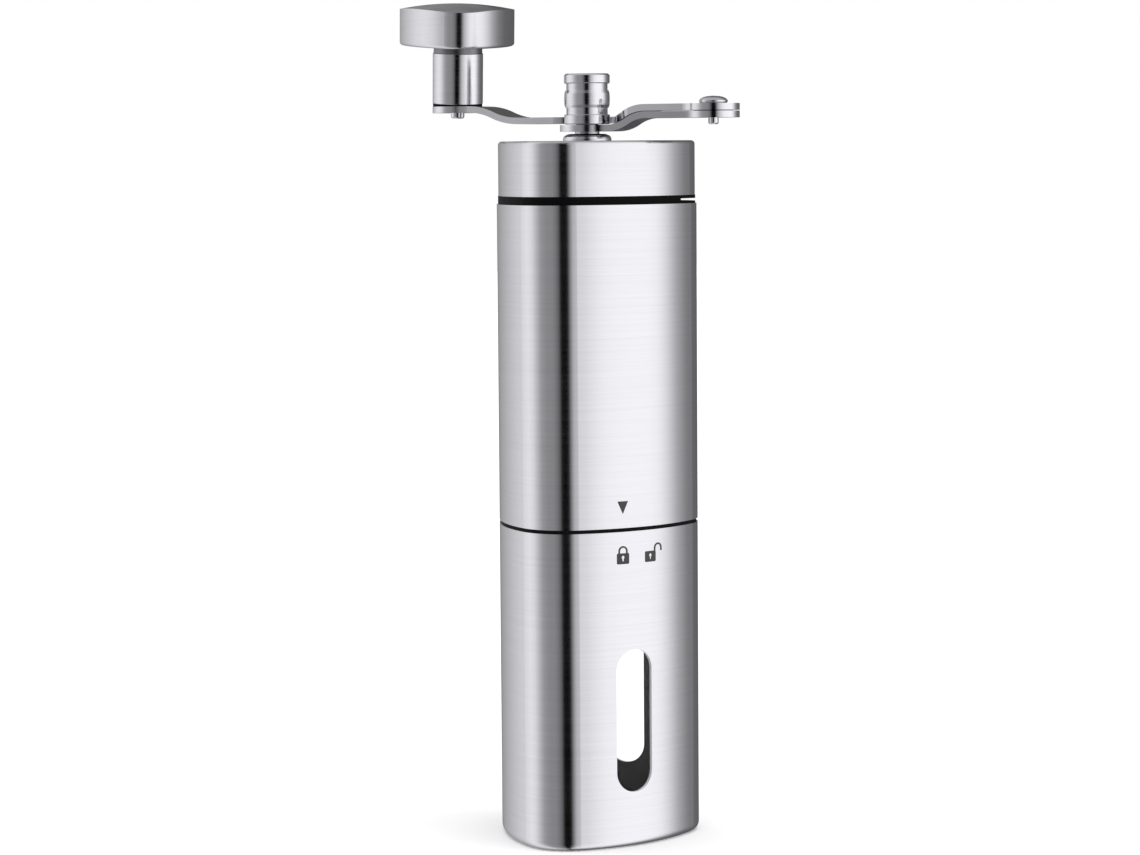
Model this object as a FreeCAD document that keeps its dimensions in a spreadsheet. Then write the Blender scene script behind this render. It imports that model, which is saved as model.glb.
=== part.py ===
import FreeCAD, Part
import math
import os
import Sketcher
from FreeCAD import Placement, Rotation, Vector

# Hand crank coffee grinder with a rounded triangular steel body, a windowed catch cup held by a
# twist lock, a lid, ceramic cone burrs and a folding two-link crank with a triangular knob.
# Frame: +Z up, origin on the spindle axis at the cup's base, the windowed front faces -Y.
# All sizes are millimetres.

doc = FreeCAD.newDocument("coffee_grinder")
sheet = doc.addObject("Spreadsheet::Sheet", "dims")

SIZES = [
    # rounded triangle shared by cup, body and lid: tangent side arcs and corner arcs
    ("side_radius", 43.8), ("corner_radius", 12.1), ("corner_centre", 14.565),
    ("wall", 0.8), ("snug", 0.05), ("running", 0.06),
    # how far joined pieces and cutting tools run past each other; gaps of stacked pieces, of
    # pressed fits and inside the knob's core
    ("over", 1.0), ("hair", 0.02), ("press", 0.01), ("core_gap", 0.4),
    # heights above the table
    ("cup_top", 76.65), ("seam_top", 77.55), ("shell_top", 154.65),
    ("band_top", 156.65), ("lid_top", 169.85), ("collar_top", 171.55),
    # cup and its windows
    ("base_round", 2.0), ("floor_thick", 1.0), ("slot_width", 10.1), ("slot_low", 13.4),
    ("slot_high", 48.1), ("front_slot_shift", -3.48),
    ("rear_slot_shift", -0.8), ("slot_cut", 30.0),
    ("liner_gap", 0.3), ("liner_wall", 1.2), ("liner_top", 61.5),
    # twist lock between cup and body
    ("collar_low", 62.2), ("spigot_radius", 18.0), ("spigot_bore", 16.4), ("spigot_low", 65.5),
    ("lug_reach", 19.3), ("lug_low", 68.2), ("lug_high", 70.6), ("lug_sweep", 20.0),
    ("lock_turn", 22.5), ("lock_radial_gap", 0.2), ("lock_axial_gap", 0.4), ("lock_slack", 1.0),
    ("seal_inset", 0.35), ("seal_gap", 0.3), ("flange_top", 79.8),
    # burrs and their housing
    ("burr_seat_radius", 19.06), ("burr_outer_radius", 19.0), ("burr_ring_low", 80.0),
    ("burr_ring_high", 93.1), ("housing_low", 79.9), ("funnel_low", 93.2), ("funnel_high", 104.0),
    ("funnel_throat", 13.2), ("funnel_mouth", 19.6), ("housing_top", 112.0), ("housing_wall", 1.4),
    ("hub_radius", 6.2), ("hub_low", 104.5), ("hub_high", 111.0), ("arm_width", 3.6),
    ("arm_low", 105.0), ("arm_high", 110.0), ("arm_reach", 25.0),
    ("cone_low", 79.0), ("cone_high", 95.0), ("cone_wide", 15.0), ("cone_narrow", 7.6),
    ("tooth_depth", 1.3), ("tooth_half", 0.9), ("ring_tooth_half", 0.54), ("axis_bore", 1.0),
    ("cone_knee_high", 86.0), ("cone_knee_radius", 11.6), ("cone_edge", 0.5),
    ("ring_tooth_low", 79.5), ("ring_tooth_high", 93.6), ("cone_tooth_low", 80.4),
    ("cone_tooth_high", 95.5), ("cone_tooth_wide", 14.6), ("cone_tooth_narrow", 7.9),
    # top bearing frame
    ("band_inset", 0.3), ("rim_inner", 4.6), ("rim_low", 144.0), ("top_hub_low", 145.5),
    ("top_hub_high", 150.5), ("top_arm_low", 146.0), ("top_arm_high", 149.0),
    ("top_arm_reach", 24.4),
    ("notch_width", 40.0), ("notch_reach", 21.3), ("notch_rise", 0.55), ("notch_height", 0.65),
    # lid
    ("lid_inset", 0.4), ("lid_round", 0.9), ("plug_gap", 0.6), ("plug_outer", 4.7),
    ("plug_inner", 5.9), ("plug_low", 151.2),
    ("plug_step", 157.0), ("plug_roof", 167.0), ("lid_hole", 4.5),
    ("lid_collar_radius", 5.9), ("lid_collar_tail", 166.0),
    # spindle
    ("shaft_radius", 3.0), ("bush_radius", 4.0), ("bush_flange", 5.4), ("bush_drop", 0.9),
    ("shaft_low", 67.0), ("thread_radius", 2.5), ("drive_low", 76.5), ("drive_high", 97.0),
    ("drive_circle", 3.464), ("crank_seat", 172.08), ("crank_hex_high", 174.3),
    ("crank_hex_circle", 2.887), ("stud_radius", 2.4), ("stud_high", 184.6),
    ("clip_low", 67.8), ("clip_thick", 0.7), ("clip_groove", 2.1), ("clip_radius", 4.2),
    ("spring_low", 95.1), ("spring_high", 102.6), ("spring_radius", 4.7), ("wire_radius", 0.45),
    ("washer_thick", 0.7), ("washer_radius", 6.0),
    ("driver_low", 76.6), ("driver_high", 78.9), ("driver_radius", 9.0),
    ("click_width", 1.2), ("click_deep", 0.7), ("click_long", 3.0),
    ("dial_low", 71.5), ("dial_high", 76.4), ("dial_radius", 12.0), ("dial_lobe", 2.6),
    ("dial_boss_drop", 1.6), ("dial_boss_radius", 6.0), ("lobe_reach", 11.4), ("coil_turns", 4.5),
    # crank
    ("link_thick", 1.6), ("link_width", 9.6), ("eye_radius", 6.6), ("end_radius", 6.3),
    ("blend_radius", 6.0), ("eye_low", 172.1), ("pivot_low", 175.2), ("crank_reach", 32.14),
    ("crank_angle", -57.3), ("handle_length", 73.15), ("handle_angle", 111.43),
    ("handle_pivot_low", 177.0), ("handle_mid_low", 174.1), ("handle_end_low", 177.1),
    ("notch_radius", 7.0), ("bow_radius", 12.2), ("axis_along", 31.52), ("axis_aside", 6.28),
    ("rivet_radius", 1.7), ("rivet_head", 3.45), ("rivet_seat", 178.65), ("rivet_top", 180.4),
    ("rivet_tail_radius", 1.25), ("rivet_tail", 173.6), ("tail_edge", 0.3),
    ("pivot_washer_radius", 4.8),
    # places of the links' bends along them, and the spare length of their blanks
    ("lower_rise_start", 6.64), ("lower_rise_end", 16.64), ("handle_drop_start", 16.5),
    ("handle_drop_end", 27.5), ("handle_rise_start", 52.55), ("handle_rise_end", 66.95),
    ("blank_spare", 8.0), ("bow_blend", 8.0), ("plan_low", 167.1), ("plan_tall", 20.0),
    # knob
    ("pin_tail", 175.8), ("pin_head", 3.2), ("pin_head_low", 189.0), ("pin_head_high", 190.3),
    ("seat_radius", 6.2), ("seat_bore", 2.1),
    ("knob_lean", 4.8), ("knob_lean_toward", -115.2), ("knob_turn", 27.7),
    ("stem_low", 179.55), ("stem_high", 192.1), ("stem_radius", 6.3), ("stem_counterbore", 3.4),
    ("stem_edge", 0.1),
    ("knob_side", 25.7), ("knob_corner", 7.05), ("knob_centre", 8.5), ("knob_low", 193.8),
    ("knob_rim", 202.7), ("knob_crown", 204.4), ("knob_wall", 0.9), ("neck_radius", 6.1),
    # ringed nut
    ("nut_low", 173.85), ("nut_high", 186.1), ("nut_radius", 5.55), ("nut_waist", 5.02),
    ("nut_ring", 2.2), ("nut_edge", 0.2), ("nut_bore_gap", 0.3), ("head_gap", 0.1),
    ("nut_top_edge", 0.4),
    ("barrel_low", 177.85), ("barrel_high", 182.05), ("barrel_half", 2.1),
    ("barrel_ease", 0.7), ("barrel_bulge", 0.06), ("barrel_drop", 0.3),
]
for row, (alias, value) in enumerate(SIZES, start=1):
    sheet.set("A%d" % row, alias)
    sheet.set("B%d" % row, repr(value))
    sheet.setAlias("B%d" % row, alias)
doc.recompute()


def size(alias):
    return float(sheet.get(alias))


def bind(obj, prop, text):
    """Drive a property from the sheet; names of cells are written without a prefix."""
    words = text.replace("(", "( ").replace(")", " )").split()
    known = [name for name, _ in SIZES]
    parts = ["dims." + w if w in known else w for w in words]
    obj.setExpression(prop, " ".join(parts))


def number(text):
    """Sum of sheet cells and plain numbers, such as 'cup_top - wall'."""
    total = 0.0
    sign = 1.0
    for word in text.split():
        if word == "-":
            sign = -1.0
        elif word == "+":
            sign = 1.0
        else:
            known = any(word == name for name, _ in SIZES)
            total += sign * (size(word) if known else float(word))
            sign = 1.0
    return total


# ---------------------------------------------------------------- building blocks

def new_body(name):
    return doc.addObject("PartDesign::Body", name)


def plane(body, role):
    return next(f for f in body.Origin.OriginFeatures if f.Role == role)


def new_sketch(body, name, role, height=None, turn=0.0):
    """Sketch on an origin plane; on the vertical plane `turn` swings it about +Z."""
    sketch = body.newObject("Sketcher::SketchObject", name)
    sketch.AttachmentSupport = [(plane(body, role), "")]
    sketch.MapMode = "FlatFace"
    if turn:
        sketch.AttachmentOffset = Placement(Vector(0, 0, 0), Rotation(Vector(0, 1, 0), turn))
    if height is not None:
        bind(sketch, ".AttachmentOffset.Base.z", height)
    return sketch


def triangle_sketch(body, name, inset, height, family="body"):
    """Rounded triangle: corner arcs and side arcs tangent to each other, moved in by `inset`."""
    keys = {"body": ("side_radius", "corner_radius", "corner_centre"),
            "knob": ("knob_side", "knob_corner", "knob_centre")}[family]
    side, corner, centre = [size(k) for k in keys]
    shrink = number(inset)
    back = math.sqrt((side - corner) ** 2 - 0.75 * centre ** 2) - centre / 2
    half = math.atan2(centre * math.sqrt(3) / 2, centre / 2 + back)
    up = Vector(0, 0, 1)
    sketch = new_sketch(body, name, "XY_Plane", height)
    for k in range(3):
        mid = math.radians(-90 + 120 * k)
        tip = mid + math.radians(60)
        turn = math.radians(60) - half
        circle = Part.Circle(Vector(-back * math.cos(mid), -back * math.sin(mid), 0), up,
                             side - shrink)
        sketch.addGeometry(Part.ArcOfCircle(circle, mid - half, mid + half), False)
        circle = Part.Circle(Vector(centre * math.cos(tip), centre * math.sin(tip), 0), up,
                             corner - shrink)
        sketch.addGeometry(Part.ArcOfCircle(circle, tip - turn, tip + turn), False)
    for k in range(6):
        sketch.addConstraint(Sketcher.Constraint("Tangent", k, 2, (k + 1) % 6, 1))
    for k in range(3):
        tip = math.radians(-30 + 120 * k)
        for axis, share in (("DistanceX", math.cos(tip)), ("DistanceY", math.sin(tip))):
            spot = sketch.addConstraint(
                Sketcher.Constraint(axis, 2 * k + 1, 3, centre * share))
            sketch.setExpression("Constraints[%d]" % spot, "dims.%s * %.12f" % (keys[2], share))
        spot = sketch.addConstraint(
            Sketcher.Constraint("Radius", 2 * k + 1, corner - shrink))
        bind(sketch, "Constraints[%d]" % spot, "%s - ( %s )" % (keys[1], inset))
        spot = sketch.addConstraint(Sketcher.Constraint("Radius", 2 * k, side - shrink))
        bind(sketch, "Constraints[%d]" % spot, "%s - ( %s )" % (keys[0], inset))
    return sketch


def polygon_sketch(body, name, points, turn=0.0):
    """Closed straight-sided outline on the vertical plane; each point is (radius, height)."""
    sketch = new_sketch(body, name, "XZ_Plane", turn=turn)
    spots = [Vector(number(a), number(b), 0) for a, b in points]
    for k, spot in enumerate(spots):
        sketch.addGeometry(Part.LineSegment(spot, spots[(k + 1) % len(spots)]), False)
    for k in range(len(spots)):
        sketch.addConstraint(Sketcher.Constraint("Coincident", k, 2, (k + 1) % len(spots), 1))
    for k, (across, height) in enumerate(points):
        for axis, text, value in (("DistanceX", across, spots[k].x),
                                  ("DistanceY", height, spots[k].y)):
            if text == "0":
                sketch.addConstraint(Sketcher.Constraint("PointOnObject", k, 1,
                                                         -2 if axis == "DistanceX" else -1))
                continue
            index = sketch.addConstraint(Sketcher.Constraint(axis, k, 1, value))
            bind(sketch, "Constraints[%d]" % index, text)
    return sketch


def pad(body, sketch, length):
    feature = body.newObject("PartDesign::Pad", sketch.Name + "_pad")
    feature.Profile = sketch
    bind(feature, "Length", length)
    sketch.Visibility = False
    doc.recompute()
    return feature


def pocket(body, sketch, length, away=False):
    feature = body.newObject("PartDesign::Pocket", sketch.Name + "_pocket")
    feature.Profile = sketch
    feature.Reversed = away
    bind(feature, "Length", length)
    before = body.Shape.Volume
    doc.recompute()
    if not body.Shape.Volume < before - 0.01:
        raise ValueError("pocket cut nothing: " + sketch.Name)
    return feature


def revolve(name, points):
    """A turned piece about the Z axis."""
    body = new_body(name)
    sketch = polygon_sketch(body, name + "_profile", points)
    feature = body.newObject("PartDesign::Revolution", name + "_turned")
    feature.Profile = sketch
    feature.ReferenceAxis = (sketch, ["V_Axis"])
    feature.Angle = 360
    doc.recompute()
    return body


def fillet(body, base, height, radius):
    """Round every edge that lies in one horizontal plane."""
    level = number(height)
    names = []
    for k, edge in enumerate(base.Shape.Edges, start=1):
        box = edge.BoundBox
        if abs(box.ZMin - level) < 1e-4 and abs(box.ZMax - level) < 1e-4:
            names.append("Edge%d" % k)
    feature = body.newObject("PartDesign::Fillet", body.Name + "_round")
    feature.Base = (base, names)
    bind(feature, "Radius", radius)
    doc.recompute()
    return feature


def cylinder(name, radius, low, high, sweep=None, start=0.0):
    solid = doc.addObject("Part::Cylinder", name)
    bind(solid, "Radius", radius)
    bind(solid, "Height", "( %s ) - ( %s )" % (high, low))
    bind(solid, ".Placement.Base.z", low)
    if sweep is not None:
        solid.Placement = Placement(solid.Placement.Base, Rotation(Vector(0, 0, 1), start))
        bind(solid, "Angle", sweep)
    return solid


def hexagon(name, circle, low, high):
    solid = doc.addObject("Part::Prism", name)
    solid.Polygon = 6
    bind(solid, "Circumradius", circle)
    bind(solid, "Height", "( %s ) - ( %s )" % (high, low))
    bind(solid, ".Placement.Base.z", low)
    return solid


def moved(solid, place):
    """Carry an upright primitive, standing at its own height, into another frame."""
    doc.recompute()
    upright = solid.Placement
    solid.setExpression(".Placement.Base.z", None)
    solid.Placement = place.multiply(upright)
    return solid


def spoke(name, angle, width, low, high, inner, outer):
    """Radial bar from `inner` to `outer`, pointing at `angle`."""
    bar = doc.addObject("Part::Box", name)
    bind(bar, "Length", "( %s ) - ( %s )" % (outer, inner))
    bind(bar, "Width", width)
    bind(bar, "Height", "( %s ) - ( %s )" % (high, low))
    turn = math.radians(angle)
    half = number(width) / 2
    start = number(inner)
    base = Vector(start * math.cos(turn) + half * math.sin(turn),
                  start * math.sin(turn) - half * math.cos(turn), number(low))
    bar.Placement = Placement(base, Rotation(Vector(0, 0, 1), angle))
    return bar


def fuse(name, shapes):
    solid = doc.addObject("Part::MultiFuse", name)
    solid.Shapes = shapes
    doc.recompute()
    return solid


def cut(name, base, tool):
    solid = doc.addObject("Part::Cut", name)
    solid.Base = base
    solid.Tool = tool
    doc.recompute()
    return solid


def common(name, base, tool):
    solid = doc.addObject("Part::Common", name)
    solid.Base = base
    solid.Tool = tool
    doc.recompute()
    return solid


def prism(name, inset, low, high, family="body"):
    """Upright rounded-triangle block between two heights."""
    body = new_body(name)
    pad(body, triangle_sketch(body, name + "_outline", inset, low, family),
        "( %s ) - ( %s )" % (high, low))
    return body


FINISHED = []


def finish(obj, label, place=None):
    obj.Label = label
    if place is not None:
        obj.Placement = place
    FINISHED.append(obj)


# ---------------------------------------------------------------- cup

def slot_sketch(body, name, shift, turn):
    """Upright slot with round ends, seen square to the face it goes through."""
    sketch = new_sketch(body, name, "XZ_Plane", turn=turn)
    middle = number(shift)
    radius = size("slot_width") / 2
    low = size("slot_low") + radius
    high = size("slot_high") - radius
    normal = Vector(0, 0, 1)
    top = Part.Circle(Vector(middle, high, 0), normal, radius)
    bottom = Part.Circle(Vector(middle, low, 0), normal, radius)
    sketch.addGeometry(Part.ArcOfCircle(top, 0, math.pi), False)
    sketch.addGeometry(Part.LineSegment(Vector(middle - radius, high, 0),
                                        Vector(middle - radius, low, 0)), False)
    sketch.addGeometry(Part.ArcOfCircle(bottom, math.pi, 2 * math.pi), False)
    sketch.addGeometry(Part.LineSegment(Vector(middle + radius, low, 0),
                                        Vector(middle + radius, high, 0)), False)
    for k in range(4):
        sketch.addConstraint(Sketcher.Constraint("Tangent", k, 2, (k + 1) % 4, 1))
    for geo, text in ((0, "slot_high - slot_width / 2"), (2, "slot_low + slot_width / 2")):
        value = high if geo == 0 else low
        index = sketch.addConstraint(Sketcher.Constraint("DistanceY", geo, 3, value))
        bind(sketch, "Constraints[%d]" % index, text)
    if middle:
        index = sketch.addConstraint(Sketcher.Constraint("DistanceX", 0, 3, middle))
        bind(sketch, "Constraints[%d]" % index, shift)
    else:
        sketch.addConstraint(Sketcher.Constraint("PointOnObject", 0, 3, -2))
    index = sketch.addConstraint(Sketcher.Constraint("Radius", 0, radius))
    bind(sketch, "Constraints[%d]" % index, "slot_width / 2")
    return sketch


def cup_shell():
    body = new_body("cup_shell_body")
    outer = pad(body, triangle_sketch(body, "cup_outline", "0", "0"), "cup_top")
    fillet(body, outer, "0", "base_round")
    pocket(body, triangle_sketch(body, "cup_inside", "wall", "cup_top"), "cup_top - floor_thick")
    pocket(body, slot_sketch(body, "front_window", "front_slot_shift", 0.0), "slot_cut", away=True)
    pocket(body, slot_sketch(body, "rear_window", "rear_slot_shift", 120.0), "slot_cut",
           away=True)
    finish(body, "cup_shell")


def cup_liner():
    body = new_body("cup_liner_body")
    outer = pad(body, triangle_sketch(body, "liner_outline", "wall + liner_gap", "floor_thick"),
                "liner_top - floor_thick")
    fillet(body, outer, "floor_thick", "base_round")
    pocket(body, triangle_sketch(body, "liner_inside", "wall + liner_gap + liner_wall",
                                 "liner_top"), "liner_top - floor_thick - liner_wall")
    finish(body, "cup_liner")


CORNER_ANGLES = (-30.0, 90.0, 210.0)
LUG_ANGLES = (-40.0, 80.0, 200.0)


def cup_collar():
    block = prism("cup_collar_block", "wall + snug", "collar_low", "cup_top - snug")
    tools = [cylinder("cup_collar_bore", "spigot_radius + lock_radial_gap",
                      "collar_low - over", "cup_top + over")]
    for k, angle in enumerate(LUG_ANGLES):
        start = angle - size("lug_sweep") / 2 - size("lock_slack")
        tools.append(cylinder("lock_track_%d" % k, "lug_reach + lock_radial_gap",
                              "lug_low - lock_axial_gap", "lug_high + lock_axial_gap",
                              "lug_sweep + lock_turn + 2 * lock_slack", start))
        tools.append(cylinder("lock_entry_%d" % k, "lug_reach + lock_radial_gap",
                              "lug_low", "cup_top + over", "lug_sweep + 2 * lock_slack",
                              start + size("lock_turn")))
    finish(cut("cup_collar_cut", block, fuse("cup_collar_tools", tools)), "cup_collar")


# ---------------------------------------------------------------- body

def body_shell():
    body = new_body("body_shell_body")
    pad(body, triangle_sketch(body, "shell_outline", "0", "seam_top"), "shell_top - seam_top")
    pocket(body, triangle_sketch(body, "shell_inside", "wall", "shell_top"),
           "shell_top - seam_top + over")
    finish(body, "body_shell")


def seam_seal():
    block = prism("seam_seal_block", "seal_inset", "cup_top + hair", "seam_top")
    bore = cylinder("seam_seal_bore", "spigot_radius + seal_gap", "cup_top - over", "seam_top + over")
    finish(cut("seam_seal_cut", block, bore), "seam_seal")


def body_collar():
    pieces = [prism("flange_block", "wall + snug", "seam_top + snug", "flange_top"),
              cylinder("spigot", "spigot_radius", "spigot_low", "seam_top + over")]
    for k, angle in enumerate(LUG_ANGLES):
        pieces.append(cylinder("lug_%d" % k, "lug_reach", "lug_low", "lug_high", "lug_sweep",
                               angle - size("lug_sweep") / 2))
    bore = cylinder("spigot_bore_tool", "spigot_bore", "spigot_low - over", "flange_top + over")
    finish(cut("body_collar_cut", fuse("body_collar_solid", pieces), bore), "body_collar")


def bearing_arms(name, low, high, reach):
    return [spoke("%s_arm_%d" % (name, k), angle, "arm_width", low, high,
                  "bush_radius + over", reach) for k, angle in enumerate(CORNER_ANGLES)]


def burr_housing():
    block = prism("housing_block", "wall + snug", "housing_low", "housing_top")
    seat = cylinder("burr_seat", "burr_seat_radius", "housing_low - over", "funnel_low")
    funnel = doc.addObject("Part::Cone", "funnel")
    bind(funnel, "Radius1", "funnel_throat")
    bind(funnel, "Radius2", "funnel_mouth")
    bind(funnel, "Height", "funnel_high - funnel_low")
    bind(funnel, ".Placement.Base.z", "funnel_low")
    mouth = prism("housing_mouth", "wall + snug + housing_wall", "funnel_high", "housing_top + over")
    hollow = cut("housing_hollow", block, fuse("housing_tools", [seat, funnel, mouth]))
    arms = bearing_arms("lower", "arm_low", "arm_high", "arm_reach")
    hub = cylinder("lower_hub", "hub_radius", "hub_low", "hub_high")
    solid = fuse("housing_solid", [hollow, hub] + arms)
    bore = cylinder("lower_hub_bore", "bush_radius + snug", "hub_low - over", "hub_high + over")
    finish(cut("burr_housing_cut", solid, bore), "burr_housing")


def bush(name, low, high):
    """Flanged bearing bush; the flange is at the lower end."""
    finish(revolve(name + "_body", [
        ("shaft_radius + running", low + " - bush_drop"), ("bush_flange", low + " - bush_drop"),
        ("bush_flange", low + " - snug"), ("bush_radius", low + " - snug"),
        ("bush_radius", high), ("shaft_radius + running", high)]), name)


def tooth_cutter(name, low, high, low_radius, high_radius, count, twist, half, inward):
    """Ring of slanted wedge grooves along a cone, cut to `tooth_depth`."""
    depth = size("tooth_depth")
    wedges = []
    for k in range(count):
        rings = []
        for height, radius, lean in ((low, low_radius, 0.0), (high, high_radius, twist)):
            turn = math.radians(360.0 * k / count + lean)
            floor = radius - depth if inward else radius + depth
            lip = radius + depth if inward else radius - depth
            radial = Vector(math.cos(turn), math.sin(turn), 0)
            aside = Vector(-math.sin(turn), math.cos(turn), 0)
            lift = Vector(0, 0, height)
            corners = [radial * floor + lift, radial * lip + aside * half * 2 + lift,
                       radial * lip - aside * half * 2 + lift]
            rings.append(Part.makePolygon(corners + corners[:1]))
        wedges.append(Part.makeLoft(rings, True, True))
    cutter = doc.addObject("Part::Feature", name)
    cutter.Shape = Part.makeCompound(wedges)
    return cutter


# number of teeth, and how far each leans over its height, in degrees
RING_TEETH = 24
RING_TWIST = 14.0
CONE_TEETH = 12
CONE_TWIST = -30.0


def outer_burr():
    ring = revolve("outer_burr_blank", [
        ("cone_wide", "burr_ring_low"), ("burr_outer_radius", "burr_ring_low"),
        ("burr_outer_radius", "burr_ring_high"), ("funnel_throat", "burr_ring_high")])
    teeth = tooth_cutter("outer_teeth", size("ring_tooth_low"), size("ring_tooth_high"),
                         size("cone_wide"), size("funnel_throat"), RING_TEETH, RING_TWIST,
                         size("ring_tooth_half"), False)
    finish(cut("outer_burr_cut", ring, teeth), "outer_burr")


def inner_burr():
    cone = revolve("inner_burr_blank", [
        ("axis_bore", "cone_low"), ("cone_wide - cone_edge", "cone_low"),
        ("cone_wide", "cone_low + cone_edge"), ("cone_knee_radius", "cone_knee_high"),
        ("cone_narrow", "cone_high"), ("axis_bore", "cone_high")])
    teeth = tooth_cutter("inner_teeth", size("cone_tooth_low"), size("cone_tooth_high"),
                         size("cone_tooth_wide"), size("cone_tooth_narrow"), CONE_TEETH,
                         CONE_TWIST, size("tooth_half"), True)
    drive = hexagon("inner_burr_drive", "drive_circle + running", "cone_low - over", "cone_high + over")
    finish(cut("inner_burr_cut", cone, fuse("inner_burr_tools", [teeth, drive])), "inner_burr")


# ---------------------------------------------------------------- top bearing frame and lid

def top_frame():
    band = prism("band_block", "band_inset", "shell_top", "band_top")
    rim = prism("rim_block", "wall + snug", "rim_low", "shell_top + over / 2")
    inside = prism("rim_inside", "rim_inner", "rim_low - over", "band_top + over")
    notch = spoke("nail_notch", CORNER_ANGLES[0], "notch_width", "shell_top + notch_rise",
                  "shell_top + notch_rise + notch_height", "notch_reach", "arm_reach + notch_reach")
    ring = cut("rim_ring", fuse("rim_solid", [band, rim]), fuse("rim_tools", [inside, notch]))
    arms = bearing_arms("upper", "top_arm_low", "top_arm_high", "top_arm_reach")
    hub = cylinder("top_hub", "hub_radius", "top_hub_low", "top_hub_high")
    solid = fuse("top_frame_solid", [ring, hub] + arms)
    bore = cylinder("top_hub_bore", "bush_radius + snug", "top_hub_low - over", "top_hub_high + over")
    finish(cut("top_frame_cut", solid, bore), "top_frame")


def lid_shell():
    body = new_body("lid_shell_body")
    outer = pad(body, triangle_sketch(body, "lid_outline", "lid_inset", "band_top"),
                "lid_top - band_top")
    fillet(body, outer, "lid_top", "lid_round")
    pocket(body, triangle_sketch(body, "lid_inside", "lid_inset + wall", "band_top"),
           "lid_top - band_top - wall", away=True)
    hole = cylinder("lid_hole_tool", "lid_hole", "lid_top - wall - over",
                    "lid_top + over")
    finish(cut("lid_shell_cut", body, hole), "lid_shell")


def lid_plug():
    pieces = [prism("plug_upper", "lid_inset + wall + plug_gap", "plug_step", "lid_top - wall - snug"),
              prism("plug_skirt", "plug_outer", "plug_low", "plug_step + over")]
    tools = [prism("plug_hollow", "plug_inner", "plug_low - over", "plug_roof"),
             cylinder("plug_hole", "lid_hole", "plug_roof - over", "lid_top + over")]
    finish(cut("lid_plug_cut", fuse("plug_solid", pieces), fuse("plug_tools", tools)), "lid_plug")


# rounded shoulder of the lid collar: how far in from its rim, and how far above the lid
COLLAR_SHOULDER = ((0.0, 0.5), (0.15, 0.95), (0.5, 1.3), (1.2, 1.6), (1.6, 1.7))


def lid_collar():
    shoulder = [("lid_collar_radius - %g" % inset, "lid_top + %g" % rise)
                for inset, rise in COLLAR_SHOULDER]
    finish(revolve("lid_collar_body", [
        ("shaft_radius + running", "lid_collar_tail"), ("lid_hole - snug", "lid_collar_tail"),
        ("lid_hole - snug", "lid_top + hair"), ("lid_collar_radius", "lid_top + hair")]
        + shoulder + [("shaft_radius + running", "collar_top")]), "lid_collar")


# ---------------------------------------------------------------- spindle

def shaft():
    head = moved(hexagon("shaft_head", "crank_hex_circle", "crank_seat - over / 2", "crank_hex_high"),
                 Placement(Vector(0, 0, 0), Rotation(Vector(0, 0, 1), size("crank_angle"))))
    pieces = [cylinder("shaft_tail", "thread_radius", "shaft_low", "drive_low + over / 2"),
              hexagon("shaft_drive", "drive_circle", "drive_low", "drive_high"),
              cylinder("shaft_journal", "shaft_radius", "drive_high - over / 2", "crank_seat"),
              head,
              cylinder("shaft_stud", "stud_radius", "crank_hex_high - over / 2", "stud_high")]
    ring = cut("clip_groove_ring",
               cylinder("groove_outer", "thread_radius + over", "clip_low - snug",
                        "clip_low + clip_thick + snug"),
               cylinder("groove_core", "clip_groove", "clip_low - over",
                        "clip_low + clip_thick + over"))
    finish(cut("shaft_cut", fuse("shaft_solid", pieces), ring), "shaft")


def shaft_clip():
    finish(revolve("shaft_clip_body", [
        ("clip_groove + hair", "clip_low"), ("clip_radius", "clip_low"),
        ("clip_radius", "clip_low + clip_thick"), ("clip_groove + hair", "clip_low + clip_thick")]),
        "shaft_clip")


def spring_washer():
    finish(revolve("spring_washer_body", [
        ("shaft_radius + running", "spring_high + hair"), ("washer_radius", "spring_high + hair"),
        ("washer_radius", "spring_high + washer_thick"),
        ("shaft_radius + running", "spring_high + washer_thick")]), "spring_washer")


def burr_spring():
    """Open coil; the wire starts and ends one wire radius inside its seats."""
    body = new_body("burr_spring_body")
    sketch = new_sketch(body, "wire_section", "XZ_Plane")
    spot = Vector(size("spring_radius"), size("spring_low") + size("wire_radius"), 0)
    sketch.addGeometry(Part.Circle(spot, Vector(0, 0, 1), size("wire_radius")), False)
    for axis, value, text in (("DistanceX", spot.x, "spring_radius"),
                              ("DistanceY", spot.y, "spring_low + wire_radius")):
        index = sketch.addConstraint(Sketcher.Constraint(axis, 0, 3, value))
        bind(sketch, "Constraints[%d]" % index, text)
    index = sketch.addConstraint(Sketcher.Constraint("Radius", 0, size("wire_radius")))
    bind(sketch, "Constraints[%d]" % index, "wire_radius")
    coil = body.newObject("PartDesign::AdditiveHelix", "coil")
    coil.Profile = sketch
    coil.ReferenceAxis = (sketch, ["V_Axis"])
    coil.Mode = 0
    bind(coil, "Height", "spring_high - spring_low - 2 * wire_radius")
    bind(coil, "Pitch", "( spring_high - spring_low - 2 * wire_radius ) / coil_turns")
    coil.Angle = 0
    doc.recompute()
    finish(body, "burr_spring")


CLICKS = 12


def burr_driver():
    """Plate that turns the cone; notches underneath click against the dial."""
    plate = cylinder("driver_plate", "driver_radius", "driver_low", "driver_high")
    drive = hexagon("driver_hole", "drive_circle + running", "driver_low - over", "driver_high + over")
    clicks = [spoke("driver_click_%d" % k, 360.0 * k / CLICKS, "click_width", "driver_low - over",
                    "driver_low + click_deep", "driver_radius - click_long",
                    "driver_radius + over") for k in range(CLICKS)]
    finish(cut("burr_driver_cut", plate, fuse("driver_tools", [drive] + clicks)), "burr_driver")


DIAL_LOBES = 8


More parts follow.
